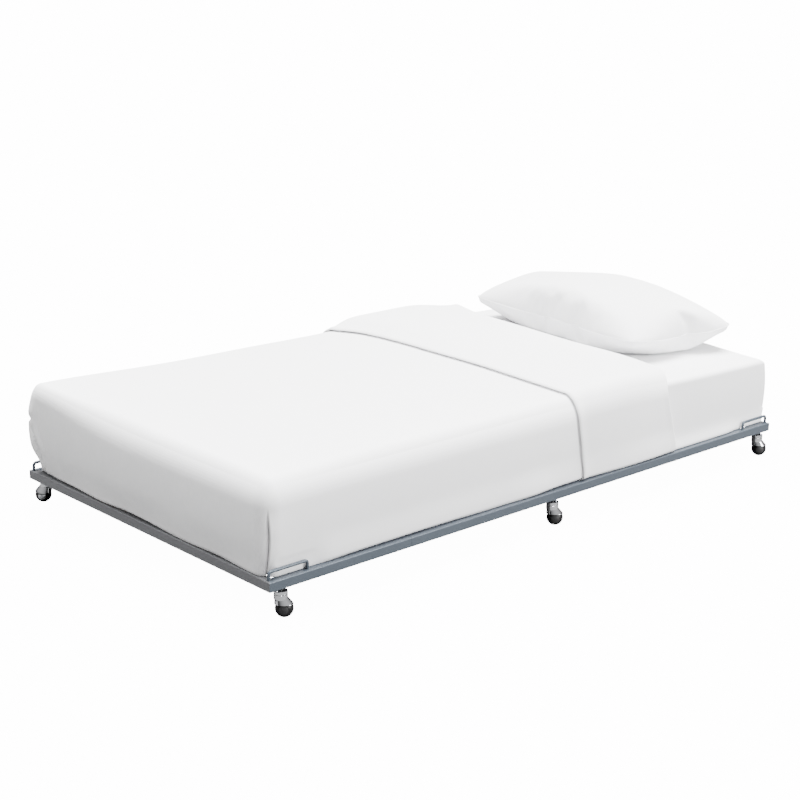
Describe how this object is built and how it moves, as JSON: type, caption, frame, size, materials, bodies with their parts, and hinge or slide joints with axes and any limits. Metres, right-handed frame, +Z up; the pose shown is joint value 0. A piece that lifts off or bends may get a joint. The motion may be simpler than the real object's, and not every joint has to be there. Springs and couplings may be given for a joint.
{
  "type": "trundle bed",
  "caption": "Low trundle bed: silver-grey square-tube steel frame on chrome ball casters, with mattress, white sheet, turned-down duvet and pillow.",
  "frame": {"origin": "centre of the footprint, on the floor", "axes": "+X along the bed from the foot to the head, +Y to the far side, +Z up"},
  "size_m": [1.93, 1.0698, 0.4496],
  "materials": {
    "powder_coated_steel": "satin",
    "zinc_plated_steel": "satin",
    "nylon": "matte",
    "chromed_zinc": "polished",
    "black_rubber": "satin",
    "mattress_fabric": "matte",
    "fitted_sheet_fabric": "matte",
    "duvet_fabric": "matte",
    "pillow_fabric": "matte"
  },
  "bodies": {
    "frame": {"foot_rail": "powder_coated_steel", "head_rail": "powder_coated_steel", "side_rail_near_foot": "powder_coated_steel", "side_rail_near_mid": "powder_coated_steel", "side_rail_near_head": "powder_coated_steel", "side_rail_far_foot": "powder_coated_steel", "side_rail_far_mid": "powder_coated_steel", "side_rail_far_head": "powder_coated_steel", "rail_sleeve_near_foot": "zinc_plated_steel", "rail_sleeve_near_head": "zinc_plated_steel", "rail_sleeve_far_foot": "zinc_plated_steel", "rail_sleeve_far_head": "zinc_plated_steel", "joint_bolts": "zinc_plated_steel", "joint_nuts": "zinc_plated_steel", "slat_1": "powder_coated_steel", "slat_2": "powder_coated_steel", "slat_3": "powder_coated_steel", "slat_4": "powder_coated_steel", "slat_5": "powder_coated_steel", "slat_6": "powder_coated_steel", "slat_7": "powder_coated_steel", "slat_8": "powder_coated_steel", "slat_9": "powder_coated_steel", "mattress_stop_near_foot": "powder_coated_steel", "mattress_stop_near_head": "powder_coated_steel", "mattress_stop_far_foot": "powder_coated_steel", "mattress_stop_far_head": "powder_coated_steel", "caster_sockets": "zinc_plated_steel", "caster_stems": "zinc_plated_steel", "swivel_washers": "nylon"},
    "hood_near_foot": {"caster_hood_near_foot": "chromed_zinc", "wheel_axle_near_foot": "zinc_plated_steel"},
    "wheel_near_foot": {"ball_wheel_near_foot": "black_rubber", "hub_cap_near_foot": "nylon"},
    "hood_near_mid": {"caster_hood_near_mid": "chromed_zinc", "wheel_axle_near_mid": "zinc_plated_steel"},
    "wheel_near_mid": {"ball_wheel_near_mid": "black_rubber", "hub_cap_near_mid": "nylon"},
    "hood_near_head": {"caster_hood_near_head": "chromed_zinc", "wheel_axle_near_head": "zinc_plated_steel"},
    "wheel_near_head": {"ball_wheel_near_head": "black_rubber", "hub_cap_near_head": "nylon"},
    "hood_far_foot": {"caster_hood_far_foot": "chromed_zinc", "wheel_axle_far_foot": "zinc_plated_steel"},
    "wheel_far_foot": {"ball_wheel_far_foot": "black_rubber", "hub_cap_far_foot": "nylon"},
    "hood_far_mid": {"caster_hood_far_mid": "chromed_zinc", "wheel_axle_far_mid": "zinc_plated_steel"},
    "wheel_far_mid": {"ball_wheel_far_mid": "black_rubber", "hub_cap_far_mid": "nylon"},
    "hood_far_head": {"caster_hood_far_head": "chromed_zinc", "wheel_axle_far_head": "zinc_plated_steel"},
    "wheel_far_head": {"ball_wheel_far_head": "black_rubber", "hub_cap_far_head": "nylon"},
    "bedding": {"mattress": "mattress_fabric", "fitted_sheet": "fitted_sheet_fabric", "duvet": "duvet_fabric"},
    "pillow": {"pillow": "pillow_fabric"}
  },
  "joints": [
    {"name": "swivel_near_foot", "type": "hinge", "parent": "frame", "child": "hood_near_foot", "pos_m": [-0.923, -0.5075, 0.06], "axis": [0, 0, 1], "continuous": true},
    {"name": "roll_near_foot", "type": "hinge", "parent": "hood_near_foot", "child": "wheel_near_foot", "pos_m": [-0.91715, -0.51296, 0.022], "axis": [0.682, 0.7314, 0], "continuous": true},
    {"name": "swivel_near_mid", "type": "hinge", "parent": "frame", "child": "hood_near_mid", "pos_m": [0, -0.5075, 0.06], "axis": [0, 0, 1], "continuous": true},
    {"name": "roll_near_mid", "type": "hinge", "parent": "hood_near_mid", "child": "wheel_near_mid", "pos_m": [0.00585, -0.51296, 0.022], "axis": [0.682, 0.7314, 0], "continuous": true},
    {"name": "swivel_near_head", "type": "hinge", "parent": "frame", "child": "hood_near_head", "pos_m": [0.923, -0.5075, 0.06], "axis": [0, 0, 1], "continuous": true},
    {"name": "roll_near_head", "type": "hinge", "parent": "hood_near_head", "child": "wheel_near_head", "pos_m": [0.92885, -0.51296, 0.022], "axis": [0.682, 0.7314, 0], "continuous": true},
    {"name": "swivel_far_foot", "type": "hinge", "parent": "frame", "child": "hood_far_foot", "pos_m": [-0.923, 0.5075, 0.06], "axis": [0, 0, 1], "continuous": true},
    {"name": "roll_far_foot", "type": "hinge", "parent": "hood_far_foot", "child": "wheel_far_foot", "pos_m": [-0.92885, 0.51296, 0.022], "axis": [-0.682, -0.7314, 0], "continuous": true},
    {"name": "swivel_far_mid", "type": "hinge", "parent": "frame", "child": "hood_far_mid", "pos_m": [0, 0.5075, 0.06], "axis": [0, 0, 1], "continuous": true},
    {"name": "roll_far_mid", "type": "hinge", "parent": "hood_far_mid", "child": "wheel_far_mid", "pos_m": [-0.00585, 0.51296, 0.022], "axis": [-0.682, -0.7314, 0], "continuous": true},
    {"name": "swivel_far_head", "type": "hinge", "parent": "frame", "child": "hood_far_head", "pos_m": [0.923, 0.5075, 0.06], "axis": [0, 0, 1], "continuous": true},
    {"name": "roll_far_head", "type": "hinge", "parent": "hood_far_head", "child": "wheel_far_head", "pos_m": [0.91715, 0.51296, 0.022], "axis": [-0.682, -0.7314, 0], "continuous": true},
    {"name": "mattress_lift", "type": "slide", "parent": "frame", "child": "bedding", "axis": [0, 0, 1], "range_m": [0, 0.3]},
    {"name": "pillow_lift", "type": "slide", "parent": "bedding", "child": "pillow", "axis": [0, 0, 1], "range_m": [0, 0.3]}
  ]
}
